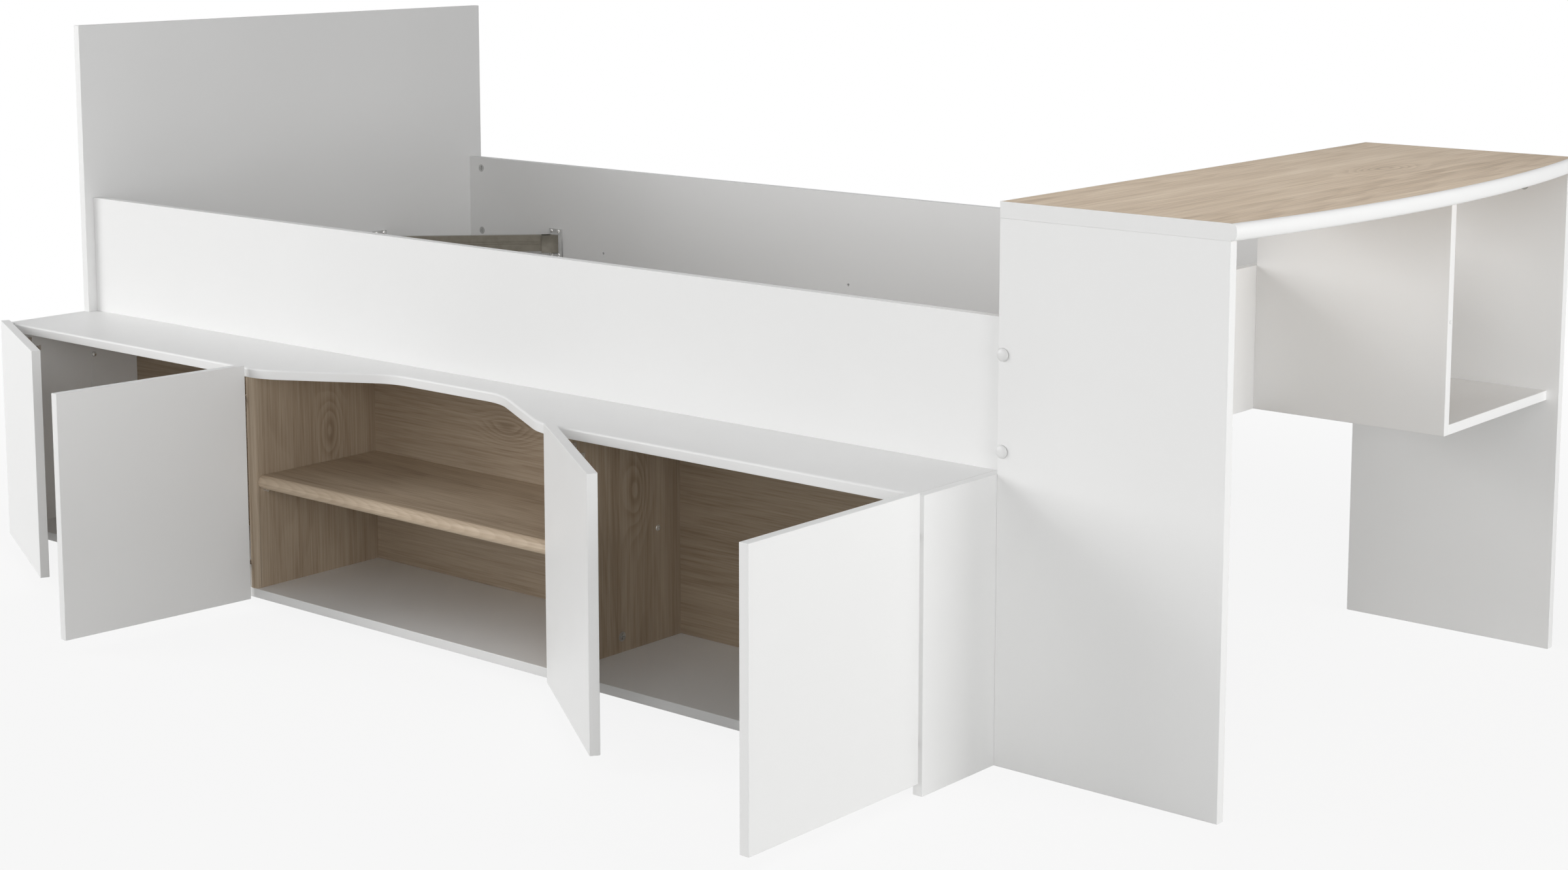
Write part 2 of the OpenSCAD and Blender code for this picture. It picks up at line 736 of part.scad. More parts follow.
module shelf_screw_hole(e) {
    rod([e == 0 ? x_div_l - cut : x_div_r + divider_t + cut, screw_y, shelf_z + shelf_t / 2],
        e == 0 ? "x" : "-x", shelf_screw_d, divider_t + shelf_screw_in + cut);
}

module shelf_fixings(x, dir) {
    shelf_screw_hole(dir == "x" ? 0 : 1);
    rod([x, pin_y, shelf_z - pin_d / 2], dir, pin_d, div_half + cut);
}

module shelf_pins() {
    color(steel) site() for (e = [0, 1]) {
        x = e == 0 ? x_div_l + div_half : x_div_r + div_half;
        rod([x, pin_y, shelf_z - pin_d / 2], e == 0 ? "x" : "-x", pin_d, div_half + pin_out);
    }
}

module shelf_screws() {
    color(steel) site() for (e = [0, 1]) {
        x = e == 0 ? x_div_l : x_div_r + divider_t;
        rod([x, screw_y, shelf_z + shelf_t / 2], e == 0 ? "x" : "-x", shelf_screw_d,
            divider_t + shelf_screw_in);
        rod([x, screw_y, shelf_z + shelf_t / 2], e == 0 ? "-x" : "x", shelf_head_d, shelf_head_t);
    }
}

module cams_of(list) {
    for (j = list) cam(j);
}

module cam_bolts_of(list) {
    for (j = list) cam_bolt(j);
}

module rail_cams() {
    color(steel) site() {
        cams_of(front_cams);
        cams_of(back_cams);
    }
}

module rail_cam_bolts() {
    color(steel) site() {
        cam_bolts_of(front_cams);
        cam_bolts_of(back_cams);
    }
}

module cabinet_cams() {
    color(steel) site() for (list = [top_cams, bottom_cams, left_div_cams, right_div_cams]) cams_of(list);
}

module cabinet_cam_bolts() {
    color(steel) site() for (list = [top_cams, bottom_cams, left_div_cams, right_div_cams])
        cam_bolts_of(list);
}

module desk_cams() {
    color(steel) site() for (list = [side_front_cams, side_back_cams]) cams_of(list);
}

module desk_cam_bolts() {
    color(steel) site() for (list = [side_front_cams, side_back_cams]) cam_bolts_of(list);
}

module dowels() {
    color(wood) site() for (list = [front_dowels, back_dowels, left_div_dowels, right_div_dowels,
        cab_back_dowels, end_seam_dowels, niche_foot_dowels, niche_top_dowels, niche_shelf_dowels])
        dowels_of(list);
}

// Doors: the local frame has its origin on the swing axis, and the closed door runs towards -x
module hung(i, angle) {
    translate([x_axis[i], y_axis, 0]) rotate([0, 0, hang[i] * angle]) handed(hang[i]) children();
}

module handed(side) {
    if (side > 0) children();
    if (side < 0) mirror([1, 0, 0]) children();
}

module door(i) {
    color(white) site() hung(i, opened[i]) difference() {
        box([-pivot_side - door_w, pivot_front, door_z], [-pivot_side, door_in, door_z + door_h]);
        for (z = hinge_z) {
            rod([-pivot_side - cup_e, door_in - cup_deep, z], "y", cup_d, cup_deep + cut);
            for (s = [-1, 1]) rod([-pivot_side - cup_e, door_in - ear_screw_len, z + s * ear_screw_z], "y",
                ear_screw_d, ear_screw_len + cut);
        }
    }
}
module door_1() { door(0); }
module door_2() { door(1); }
module door_3() { door(2); }
module door_4() { door(3); }

module hinge_cups(i) {
    color(steel) site() hung(i, opened[i]) for (z = hinge_z) translate([-pivot_side - cup_e, 0, z])
        difference() {
            union() {
                rod([0, door_in - cup_deep, 0], "y", cup_d, cup_deep);
                translate([-ear_w / 2, door_in, -ear_h / 2]) cube([ear_w, ear_t, ear_h]);
            }
            rod([0, door_in - cup_deep + cup_wall, 0], "y", cup_d - 2 * cup_wall, cup_deep + ear_t);
            for (s = [-1, 1]) rod([0, door_in - cut, s * ear_screw_z], "y", ear_screw_d, ear_t + 2 * cut);
        }
}
module hinge_cups_1() { hinge_cups(0); }
module hinge_cups_2() { hinge_cups(1); }
module hinge_cups_3() { hinge_cups(2); }
module hinge_cups_4() { hinge_cups(3); }

module cup_screws(i) {
    color(steel) site() hung(i, opened[i]) for (z = hinge_z) for (s = [-1, 1])
        translate([-pivot_side - cup_e, door_in, z + s * ear_screw_z]) {
            rod([0, -ear_screw_len, 0], "y", ear_screw_d, ear_screw_len + ear_t);
            rod([0, ear_t, 0], "y", head_d, head_t);
        }
}
module cup_screws_1() { cup_screws(0); }
module cup_screws_2() { cup_screws(1); }
module cup_screws_3() { cup_screws(2); }
module cup_screws_4() { cup_screws(3); }

module hinge_straps(i) {
    tip = strap_tip - strap_rate * opened[i];
    color(steel) site() hung(i, 0) for (z = hinge_z) translate([-strap_x - strap_w, tip, z - strap_h / 2])
        cube([strap_w, strap_len, strap_h]);
}
module hinge_straps_1() { hinge_straps(0); }
module hinge_straps_2() { hinge_straps(1); }
module hinge_straps_3() { hinge_straps(2); }
module hinge_straps_4() { hinge_straps(3); }

// The channel is a pressed steel hat: its feet are screwed to the board, and the strap runs inside it
module channel(z) {
    out = strap_x + strap_w + hinge_clear + channel_wall;
    in_h = strap_h / 2 + hinge_clear;
    foot_y = channel_y + (channel_len - foot_len) / 2;
    difference() {
        union() {
            translate([-out, channel_y, z - in_h - channel_wall])
                cube([out - face_x, channel_len, 2 * (in_h + channel_wall)]);
            translate([-face_x - channel_wall, foot_y, z - in_h - channel_wall - foot_h])
                cube([channel_wall, foot_len, 2 * (in_h + channel_wall + foot_h)]);
        }
        translate([-out + channel_wall, channel_y - cut, z - in_h])
            cube([out, channel_len + 2 * cut, 2 * in_h]);
        for (s = [-1, 1])
            rod([-face_x - channel_wall - cut, foot_y + foot_len / 2, z + s * foot_screw_z], "x",
                foot_screw_d, channel_wall + 2 * cut);
    }
}
foot_screw_z = strap_h / 2 + hinge_clear + channel_wall + foot_h / 2;

module hinge_arms() {
    color(steel) site() for (i = [0 : 3]) hung(i, 0) for (z = hinge_z) channel(z);
}

module hinge_arm_screws() {
    color(steel) site() for (i = [0 : 3]) hung(i, 0) for (z = hinge_z) for (s = [-1, 1])
        translate([-face_x, channel_y + channel_len / 2, z + s * foot_screw_z]) {
            rod([-channel_wall, 0, 0], "x", foot_screw_d, channel_wall + foot_screw_len);
            rod([-channel_wall, 0, 0], "-x", head_d, head_t);
        }
}

module arm_pilots(i) {
    hung(i, 0) for (z = hinge_z) for (s = [-1, 1])
        rod([-face_x - cut, channel_y + channel_len / 2, z + s * foot_screw_z], "x", foot_screw_d,
            foot_screw_len + cut);
}

headboard();
footboard();
front_rail();
back_rail();
brace_head_front();
brace_head_back();
brace_foot_front();
brace_foot_back();
brace_brackets();
brace_screws();
desk_side_front();
desk_side_back();
desk_top();
desk_front_edging();
desk_side_edging();
desk_niche_wall();
desk_niche_shelf();
desk_bolts();
desk_barrel_nuts();
bolt_caps();
cabinet_top();
cabinet_bottom();
cabinet_end_left();
cabinet_end_right();
divider_left();
divider_right();
cabinet_back();
niche_shelf();
shelf_pins();
shelf_screws();
rail_cams();
rail_cam_bolts();
cabinet_cams();
cabinet_cam_bolts();
desk_cams();
desk_cam_bolts();
dowels();
hinge_arms();
hinge_arm_screws();
door_1();
door_2();
door_3();
door_4();
hinge_cups_1();
hinge_cups_2();
hinge_cups_3();
hinge_cups_4();
cup_screws_1();
cup_screws_2();
cup_screws_3();
cup_screws_4();
hinge_straps_1();
hinge_straps_2();
hinge_straps_3();
hinge_straps_4();
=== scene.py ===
# %% [markdown]
# # A low cabin bed with its cabinet and desk
#
# The object is a flat-pack bed made of coated boards. Every board was drawn in CAD with its
# drilled holes. This script takes those boards, softens their edges, gives them their coatings,
# and adds the small rounded parts that a plain solid leaves out: domed caps, pressed screw heads
# and the rounded desk edging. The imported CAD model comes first, because every piece is placed
# from it.

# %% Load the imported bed
import json
import math
import bmesh
import bpy
import numpy as np
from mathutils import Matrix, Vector

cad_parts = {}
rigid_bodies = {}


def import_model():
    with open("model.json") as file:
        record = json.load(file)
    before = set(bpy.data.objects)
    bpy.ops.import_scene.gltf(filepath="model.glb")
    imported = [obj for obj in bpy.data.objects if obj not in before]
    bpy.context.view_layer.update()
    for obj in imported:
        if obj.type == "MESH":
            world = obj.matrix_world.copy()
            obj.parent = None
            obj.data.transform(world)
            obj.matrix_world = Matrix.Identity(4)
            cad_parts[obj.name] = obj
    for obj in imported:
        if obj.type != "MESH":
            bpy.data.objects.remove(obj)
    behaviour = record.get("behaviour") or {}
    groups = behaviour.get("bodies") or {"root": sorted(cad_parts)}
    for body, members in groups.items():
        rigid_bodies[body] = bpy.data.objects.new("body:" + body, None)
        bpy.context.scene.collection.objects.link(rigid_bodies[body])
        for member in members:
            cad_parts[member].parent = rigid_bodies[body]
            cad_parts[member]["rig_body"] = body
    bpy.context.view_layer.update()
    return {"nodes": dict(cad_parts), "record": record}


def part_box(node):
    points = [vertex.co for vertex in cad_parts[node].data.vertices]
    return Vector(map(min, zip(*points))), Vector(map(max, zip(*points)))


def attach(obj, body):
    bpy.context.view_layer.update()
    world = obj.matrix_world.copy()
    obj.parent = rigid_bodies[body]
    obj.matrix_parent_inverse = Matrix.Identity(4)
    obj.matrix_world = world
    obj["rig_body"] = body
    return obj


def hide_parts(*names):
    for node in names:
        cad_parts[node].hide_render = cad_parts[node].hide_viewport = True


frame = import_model()
slot_of = {part["node"]: part["material_slot"] for part in frame["record"]["subparts"]}

# %% [markdown]
# ## The camera
#
# The photograph looks at the bed from its desk end, from a little above the desk. It has a level
# camera and a lens shifted far down, which keeps every upright parallel. So large a shift would
# push the bed out of the frame in views from other sides. This camera takes a third of that
# shift and looks a little down instead. Its place, turn and lens were solved from the corners of
# the boards, and the uprights lean by about two degrees at the most.

# %% Camera at the photograph's place
EYE = (2.77585, -3.0141, 1.1817)
PITCH_DOWN, TURN = 8.053, 40.099
LENS, SENSOR, SHIFT_Y = 59.820, 36.0, -0.12

camera_data = bpy.data.cameras.new("photo_camera")
camera_data.lens, camera_data.sensor_width, camera_data.shift_y = LENS, SENSOR, SHIFT_Y
camera = bpy.data.objects.new("photo_camera", camera_data)
camera.location = EYE
camera.rotation_euler = (math.radians(90 - PITCH_DOWN), 0, math.radians(TURN))
bpy.context.scene.collection.objects.link(camera)
bpy.context.scene.camera = camera
print("camera", camera.location[:], "lens", camera_data.lens)

# %% [markdown]
# ## Soft studio light
#
# The photograph has no hard shadow, its upright faces are brighter than its level ones, and its
# background is pure white. Large square lamps give that. The strongest stands to the left and
# lights the long front, smaller ones fill in from the right, low and above, and each faces the
# middle of the bed. The white surroundings of the next step add a little from everywhere.

# %% Lamps
MIDDLE = Vector((0.0, 0.0, 0.4))
LAMPS = {   # place in metres, side of the lamp in metres, power in watts
    "left": ((-4.6, -4.0, 2.2), 3.0, 132.0),
    "left_front": ((-2.4, -5.4, 1.8), 2.5, 43.0),
    "high_left": ((-4.2, -2.6, 4.4), 3.0, 36.0),
    "beside_camera": ((3.6, -4.4, 2.6), 3.0, 47.0),
    "front_low": ((2.3, -4.6, 0.55), 1.4, 9.0),
    "right_front": ((5.0, -2.6, 1.0), 1.6, 48.0),
    "desk_right": ((3.6, 0.6, 0.9), 1.0, 30.0),
    "over_desk": ((1.25, 0.1, 1.95), 0.7, 3.7)}

for name, (place, size, power) in LAMPS.items():
    lamp_data = bpy.data.lights.new("lamp_" + name, "AREA")
    lamp_data.shape, lamp_data.size, lamp_data.energy = "SQUARE", size, power
    lamp = bpy.data.objects.new("lamp_" + name, lamp_data)
    lamp.location = place
    lamp.rotation_euler = (MIDDLE - Vector(place)).to_track_quat("-Z", "Y").to_euler()
    bpy.context.scene.collection.objects.link(lamp)
bpy.context.scene.view_settings.view_transform = "Standard"
print("lamps", len(LAMPS))

# %% [markdown]
# ## Helpers for shader nodes
#
# A material is a small graph of nodes. The first helper adds one node, sets its properties, and
# joins or fills its sockets, so that a graph can be written down like a formula. The others are
# the steps that every finish here uses: a sum, a range, a noise, a patchy colour and a fine
# relief.

# %% Nodes and sums
def add(tree, kind, inputs=None, **settings):
    """Adds a node. A socket given as another node's output is linked, and any other value is
    written in."""
    made = tree.nodes.new("ShaderNode" + kind)
    for key, value in settings.items():
        setattr(made, key, value)
    for key, value in (inputs or {}).items():
        if isinstance(value, bpy.types.NodeSocket):
            tree.links.new(value, made.inputs[key])
        else:
            made.inputs[key].default_value = value
    return made


def math_node(tree, operation, first, second=0.0, third=0.0):
    """One sum, product or other operation on numbers."""
    return add(tree, "Math", {0: first, 1: second, 2: third}, operation=operation).outputs[0]


def calculator(tree):
    """math_node for one tree, so that a long formula reads shorter."""
    return lambda operation, *terms: math_node(tree, operation, *terms)


def span(tree, value, low, high, from_low=0.0, from_high=1.0):
    """Moves a value from one range to another and holds it inside."""
    ranges = {0: value, 1: from_low, 2: from_high, 3: low, 4: high}
    return add(tree, "MapRange", ranges).outputs[0]


print("helpers", [helper.__name__ for helper in (add, math_node, calculator, span)])

# %% Patches, relief and an empty material
NOISE_MIDDLE, NOISE_MOST = (0.35, 0.65), (0.3, 0.7)   # where most of a noise's values lie


def noise(tree, place, scale, detail):
    """A noise's value at a place. A larger scale makes finer patches."""
    return add(tree, "TexNoise", {"Vector": place, "Scale": scale, "Detail": detail}).outputs["Fac"]


def patchy_colour(tree, shader, patches, colour, dim):
    """Base colour = a mix of colour x dim and colour, as the patches go from low to high."""
    dull = tuple(c * dim for c in colour[:3]) + (1.0,)
    share = span(tree, patches, 0, 1, *NOISE_MIDDLE)
    tint = add(tree, "Mix", {0: share, 6: dull, 7: colour}, data_type="RGBA")
    tree.links.new(tint.outputs[2], shader.inputs["Base Color"])


def relief(tree, shader, height, strength, depth):
    """Bends the shader's normal as a surface would that rises by height x depth."""
    bump = add(tree, "Bump", {"Height": height, "Strength": strength, "Distance": depth})
    tree.links.new(bump.outputs[0], shader.inputs["Normal"])


def new_material(name):
    """An empty Principled material: its tree, its shader and its Object coordinates."""
    material = bpy.data.materials.new(name)
    material.use_nodes = True
    tree = material.node_tree
    place = add(tree, "TexCoord").outputs["Object"]
    return material, tree, tree.nodes["Principled BSDF"], place


def white_seen(tree):
    """1 for what the camera, a gloss or a glass sees directly, and 0 for light that bounces."""
    path = add(tree, "LightPath").outputs
    seen = math_node(tree, "MAXIMUM", path["Is Camera Ray"], path["Is Glossy Ray"])
    return math_node(tree, "MAXIMUM", seen, path["Is Transmission Ray"])


print("helpers", [helper.__name__ for helper in (noise, patchy_colour, relief, new_material)])

# %% [markdown]
# ## Floor and backdrop
#
# The real bed stands in front of nothing but white. The backdrop is the world itself, white
# where it is looked at and dim for the light that it sends. The floor mixes plain white for the
# eye with a pale matt surface, and the matt share keeps the bed's soft shadow on it. Further out
# the floor turns wholly white, so that no horizon shows.

# %% World
PURE_WHITE = (1, 1, 1, 1)
WORLD_STRENGTH = 0.19
world = bpy.data.worlds.new("studio")
world.use_nodes = True
bpy.context.scene.world = world
world_tree = world.node_tree
strength = math_node(world_tree, "MULTIPLY_ADD", white_seen(world_tree),
                     1.0 - WORLD_STRENGTH, WORLD_STRENGTH)
background = world_tree.nodes["Background"]
background.inputs["Color"].default_value = PURE_WHITE
world_tree.links.new(strength, background.inputs["Strength"])
print("world strength", WORLD_STRENGTH)

# %% Floor
FLOOR_COLOUR, FLOOR_ROUGH = (0.62, 0.62, 0.61, 1), 0.9
NEAR_WHITE, NEAR_EDGE, FAR_EDGE = 0.88, 1.4, 3.2   # share of plain white, metres from the middle
FLOOR_HALF, FLOOR_DROP = 14.0, 0.0004

floor_material, tree, shader, place = new_material("studio_floor")
shader.inputs["Base Color"].default_value = FLOOR_COLOUR
shader.inputs["Roughness"].default_value = FLOOR_ROUGH
glow = add(tree, "Emission", {"Color": PURE_WHITE, "Strength": 1.0})
away = add(tree, "VectorMath", {0: place}, operation="LENGTH").outputs["Value"]
whiteness = span(tree, away, NEAR_WHITE, 1.0, NEAR_EDGE, FAR_EDGE)
share = math_node(tree, "MULTIPLY", white_seen(tree), whiteness)
mixed = add(tree, "MixShader", {0: share, 1: shader.outputs[0], 2: glow.outputs[0]})
tree.links.new(mixed.outputs[0], tree.nodes["Material Output"].inputs["Surface"])

floor_mesh = bpy.data.meshes.new("floor")
corners = [(x * FLOOR_HALF, y * FLOOR_HALF, -FLOOR_DROP)
           for x, y in ((-1, -1), (1, -1), (1, 1), (-1, 1))]
floor_mesh.from_pydata(corners, [], [(0, 1, 2, 3)])
floor_mesh.materials.append(floor_material)
floor = bpy.data.objects.new("floor", floor_mesh)
bpy.context.scene.collection.objects.link(floor)
print("floor", FLOOR_HALF * 2, "m square")

# %% [markdown]
# ## White melamine
#
# The white boards are particle board under a printed, pressed resin film. The film isn't a
# mirror: it has a very fine hammered skin, its gloss changes a little from place to place, and
# the white drifts by a hundredth or so. Three noises at three scales give that: cloud, gloss and
# skin.

# %% White board and white plastic
CLOUD, GLOSS_PATCH, SKIN_DETAIL = (2.6, 2.0), (28.0, 4.0), 2.0   # scale and detail of the noises
CLOUD_DIM, SKIN_STRENGTH = 0.985, 0.35
SMOOTHER, ROUGHER = 0.02, 0.03


def coated(name, colour, gloss, skin_scale, skin_depth):
    """Cloud tints the colour, a finer noise moves the roughness from a little under gloss to a
    little over it, and the finest one lifts the surface."""
    material, tree, shader, place = new_material(name)
    patchy_colour(tree, shader, noise(tree, place, *CLOUD), colour, CLOUD_DIM)
    patch = noise(tree, place, *GLOSS_PATCH)
    rough = span(tree, patch, gloss - SMOOTHER, gloss + ROUGHER, *NOISE_MOST)
    tree.links.new(rough, shader.inputs["Roughness"])
    relief(tree, shader, noise(tree, place, skin_scale, SKIN_DETAIL), SKIN_STRENGTH, skin_depth)
    return material


white_board = coated("white_melamine", colour=(0.885, 0.885, 0.88, 1.0), gloss=0.42,
                     skin_scale=700.0, skin_depth=0.00004)
white_edging = coated("white_edging", colour=(0.86, 0.86, 0.855, 1.0), gloss=0.34,
                      skin_scale=420.0, skin_depth=0.00003)
white_plastic = coated("white_plastic", colour=(0.82, 0.82, 0.815, 1.0), gloss=0.3,
                       skin_scale=300.0, skin_depth=0.00002)
print("white finishes", white_board.name, white_edging.name, white_plastic.name)

# %% [markdown]
# ## Light oak
#
# The oak is a printed film of flat-sawn boards laid side by side. In a real log the rings are
# cones round the pith, and a saw cut close to the pith meets them in long arches. The material
# follows that: each stave has its own pith line, and a point's distance from it, stirred by a
# slow noise, gives the ring that it lies in.

# %% Rings of a stave
STAVE, RING = 0.098, 0.0048                    # width of a stave and of a ring, in metres
DRIFT_SQUEEZE, DRIFT, PITH_DRIFT = 1.1, (1.0, 1.0), 0.05   # how the pith wanders along the stave
PITH_LEAST, PITH_SPREAD = 0.006, 0.05          # how deep the pith lies at least, and how much more
LEAST_LEAN = 0.008                             # metres that the pith sinks for each metre along
STIR_SQUEEZE, STIR, STIR_PUSH = 0.11, (21.0, 1.5), 0.013   # scale and detail are in brackets


def streaked(tree, along, over, into, share):
    """A place squeezed along the grain to a share of its length, so that a noise is streaked."""
    squeezed = math_node(tree, "MULTIPLY", along, share)
    return add(tree, "CombineXYZ", {0: squeezed, 1: over, 2: into}).outputs[0]


def from_pith(tree, along, over, into, seed, tilt):
    """Distance = square root of ((over - pith) squared + (into + pith's depth + lean x along)
    squared) + stir. The stave's number throws the dice for its pith. Returns both."""
    calc = calculator(tree)
    drift = noise(tree, streaked(tree, along, 0.0, seed, DRIFT_SQUEEZE), *DRIFT)
    number = calc("FLOOR", calc("DIVIDE", over, STAVE))
    dice = add(tree, "TexWhiteNoise", {"W": calc("ADD", number, seed)}, noise_dimensions="1D")
    throws = add(tree, "SeparateColor", {0: dice.outputs["Color"]}).outputs
    pith_over = calc("MULTIPLY_ADD", calc("ADD", number, throws[0]), STAVE,
                     calc("MULTIPLY_ADD", drift, PITH_DRIFT, -PITH_DRIFT / 2))
    pith_deep = calc("MULTIPLY_ADD", throws[1], PITH_SPREAD, PITH_LEAST)
    lean = calc("MULTIPLY", along, calc("MULTIPLY_ADD", throws[2], tilt, LEAST_LEAN))
    side = calc("SUBTRACT", over, pith_over)
    depth = calc("ADD", calc("ADD", into, pith_deep), lean)
    square = calc("ADD", calc("POWER", side, 2.0), calc("POWER", depth, 2.0))
    stir = noise(tree, streaked(tree, along, over, into, STIR_SQUEEZE), *STIR)
    return calc("MULTIPLY_ADD", stir, STIR_PUSH, calc("SQRT", square)), dice.outputs["Value"]


print("rings to a stave", round(STAVE / RING, 1))

# %% [markdown]
# ## Knots
#
# A knot is where a branch grew. The rings of the trunk flow round it and close into ovals,
# longer along the grain than across it, and the wood there is darker. So a knot adds a smooth
# hill to the distance that the rings are counted from, and the same hill darkens the spot and
# deepens its rings.

# %% The hill of a knot
KNOT_LONG = 2.2                                # how much longer than wide a knot is
KNOT_DARK, KNOT_RINGS = 0.10, 0.42             # what it takes from the tone, and adds to the rings


def knot_push(tree, along, over, knot):
    """Hill = height x e to the minus (distance from the knot / size) squared, with the distance
    along the grain counted less. A knot lists its place along and over, its size and its height."""
    calc = calculator(tree)
    knot_along, knot_over, size, hill = knot
    length = size * KNOT_LONG
    a = calc("MULTIPLY_ADD", along, 1 / length, -knot_along / length)
    o = calc("MULTIPLY_ADD", over, 1 / size, -knot_over / size)
    square = calc("ADD", calc("MULTIPLY", a, a), calc("MULTIPLY", o, o))
    return calc("MULTIPLY", calc("EXPONENT", calc("MULTIPLY", square, -1.0)), hill)


print("knot", KNOT_LONG, "times as long as wide")

# %% [markdown]
# ## Tone and pores of the oak
#
# Inside each ring the brown latewood comes last, and the tone jumps back where the next ring
# starts. Every stave has a tone of its own, broad and fine streaks run along the grain, and the
# pores are short dark dashes that are also a little sunk. All of it adds up to one number, which
# a ramp of four oak shades turns into colour. Each piece then scales those shades by a painted
# light factor: up for a piece that catches a sheen, down for one that stands in shade.

# %% Oak material
SEED_STEP = 1.37                               # metres over the grain between one seed and the next
RING_RISE, RING_FALL = 2.0, 7.0                # powers of the phase in a ring's dark end
GRAIN_SQUEEZE = 0.022
FIBRE, BROAD, DASH = (360.0, 3.0), (30.0, 2.5), (1150.0, 1.0)   # scale and detail of the streaks
PORE_EDGE = (0.60, 0.72)                       # a dash becomes a pore between these values
HALF_TONE = 0.5
STAVE_SHARE, BROAD_SHARE, FIBRE_SHARE, PORE_SHARE = 0.20, 0.85, 0.95, 0.16
RING_SHARE, RING_BACK = 0.30, 0.07             # what a ring takes, and what the rest gets back
OAK_ROUGH, OAK_SPECULAR = (0.62, 0.5), 0.32
FIBRE_LIFT, OAK_RELIEF, OAK_DEPTH = 0.4, 0.3, 0.00006
OAK_SHADES = [(0.0, (0.36, 0.27, 0.185)), (0.35, (0.53, 0.415, 0.30)),
              (0.65, (0.635, 0.515, 0.385)), (1.0, (0.74, 0.625, 0.49))]


def oak(name, grain, across, through, seed, painted_light_scale=1.0, tilt=0.03, knots=(), contrast=1.0):
    """grain, across and through name the object's axes along the stave, over its width and into the
    log. Ring phase = (distance from the pith + knots) / ring width, of which the whole rings are
    dropped. Tone = stave + broad streaks + fibre - ring - pores - knot."""
    material, tree, shader, place = new_material(name)
    calc = calculator(tree)
    axes = add(tree, "SeparateXYZ", {0: place}).outputs
    along, flat_over, into = (axes["XYZ".index(a)] for a in (grain, across, through))
    over = calc("ADD", flat_over, seed * SEED_STEP)
    distance, stave_tone = from_pith(tree, along, over, into, seed, tilt)
    at_knot = 0.0
    for knot in knots:
        push = knot_push(tree, along, flat_over, knot)
        distance = calc("ADD", distance, push)
        at_knot = calc("MULTIPLY_ADD", push, 1 / knot[3], at_knot)
    phase = calc("FRACT", calc("DIVIDE", distance, RING))
    ring = calc("MULTIPLY", calc("POWER", phase, RING_RISE),
                calc("SUBTRACT", 1.0, calc("POWER", phase, RING_FALL)))
    streaks = streaked(tree, along, over, into, GRAIN_SQUEEZE)
    fibre, broad, dash = (noise(tree, streaks, *kind) for kind in (FIBRE, BROAD, DASH))
    pore = span(tree, dash, 0.0, 1.0, *PORE_EDGE)
    tone = calc("MULTIPLY_ADD", calc("SUBTRACT", stave_tone, HALF_TONE), STAVE_SHARE, HALF_TONE)
    tone = calc("MULTIPLY_ADD", calc("SUBTRACT", broad, HALF_TONE), BROAD_SHARE * contrast, tone)
    tone = calc("ADD", tone, RING_BACK * contrast)
    ring_share = calc("MULTIPLY_ADD", at_knot, -KNOT_RINGS, -RING_SHARE * contrast)
    tone = calc("MULTIPLY_ADD", ring, ring_share, tone)
    tone = calc("MULTIPLY_ADD", calc("SUBTRACT", fibre, HALF_TONE), FIBRE_SHARE, tone)
    tone = calc("MULTIPLY_ADD", pore, -PORE_SHARE, tone)
    tone = calc("MULTIPLY_ADD", at_knot, -KNOT_DARK, tone)
    ramp = add(tree, "ValToRGB", {0: tone})
    while len(ramp.color_ramp.elements) < len(OAK_SHADES):
        ramp.color_ramp.elements.new(HALF_TONE)
    # Painted light: the four shades are scaled up for a lit sheen and down for shade, piece by
    # piece.
    for element, (at, shade) in zip(ramp.color_ramp.elements, OAK_SHADES):
        element.position = at
        element.color = tuple(min(1.0, c * painted_light_scale) for c in shade) + (1.0,)
    tree.links.new(ramp.outputs["Color"], shader.inputs["Base Color"])
    tree.links.new(span(tree, fibre, *OAK_ROUGH, *NOISE_MOST), shader.inputs["Roughness"])
    shader.inputs["Specular IOR Level"].default_value = OAK_SPECULAR
    lift = calc("MULTIPLY_ADD", pore, -1.0, calc("MULTIPLY", fibre, FIBRE_LIFT))
    relief(tree, shader, lift, OAK_RELIEF, OAK_DEPTH)
    return material


print("oak shades", len(OAK_SHADES))

# %% The woods of this bed
# A knot is listed as (place along, place over, size, height of its hill), all in metres. The
# dowels are beech, and the same recipe with a paler tone serves for them.
# painted_light_scale paints light and shade: 1.27 gives the desk top a painted sheen, 0.70 to 0.80
# paint shade on the dividers, back and shelf inside the cabinet, and the shelf's nose is scaled
# 0.98.
oak_desk = oak("oak_desk_top", "Y", "X", "Z", seed=3.0, painted_light_scale=1.27, contrast=0.8,
               knots=[(0.422, 1.022, 0.030, 0.022)])
oak_divider = oak("oak_divider", "Z", "Y", "X", seed=5.0, painted_light_scale=0.70, contrast=0.75,
                  knots=[(0.277, -0.249, 0.026, 0.018)])
oak_back = oak("oak_cabinet_back", "X", "Z", "Y", seed=8.0, painted_light_scale=0.76, contrast=0.75,
               knots=[(-0.214, 0.300, 0.028, 0.019), (0.62, 0.12, 0.020, 0.014)])
oak_shelf = oak("oak_shelf", "X", "Y", "Z", seed=11.0, painted_light_scale=0.80, contrast=0.8)
oak_nose = oak("oak_shelf_nose", "X", "Z", "Y", seed=14.0, painted_light_scale=0.98, tilt=0.16)
beech = oak("beech_dowel", "Z", "Y", "X", seed=21.0, painted_light_scale=0.95)
print("wood finishes", [wood.name for wood in
                        (oak_desk, oak_divider, oak_back, oak_shelf, oak_nose, beech)])

# %% [markdown]
# ## Metals and olive paint
#
# Screws and hinges are nickel-plated steel. Nickel mirrors its surroundings, which are dark
# inside a cabinet, so a fifth of it is plain pale grey and it stays bright there. The cams are
# cast zinc, duller and slightly grained. The braces are an olive-grey painted profile, and their
# plates a paler grey. One recipe makes all four: the same patches dull the colour and move the
# gloss, and a grain lifts the skin.

# %% Metal and paint
METAL_PATCH, GRAIN_DETAIL, GRAIN_STRENGTH = (90.0, 4.0), 2.0, 0.3
METAL_DIM, BRIGHTER, DULLER = 0.86, 0.07, 0.09


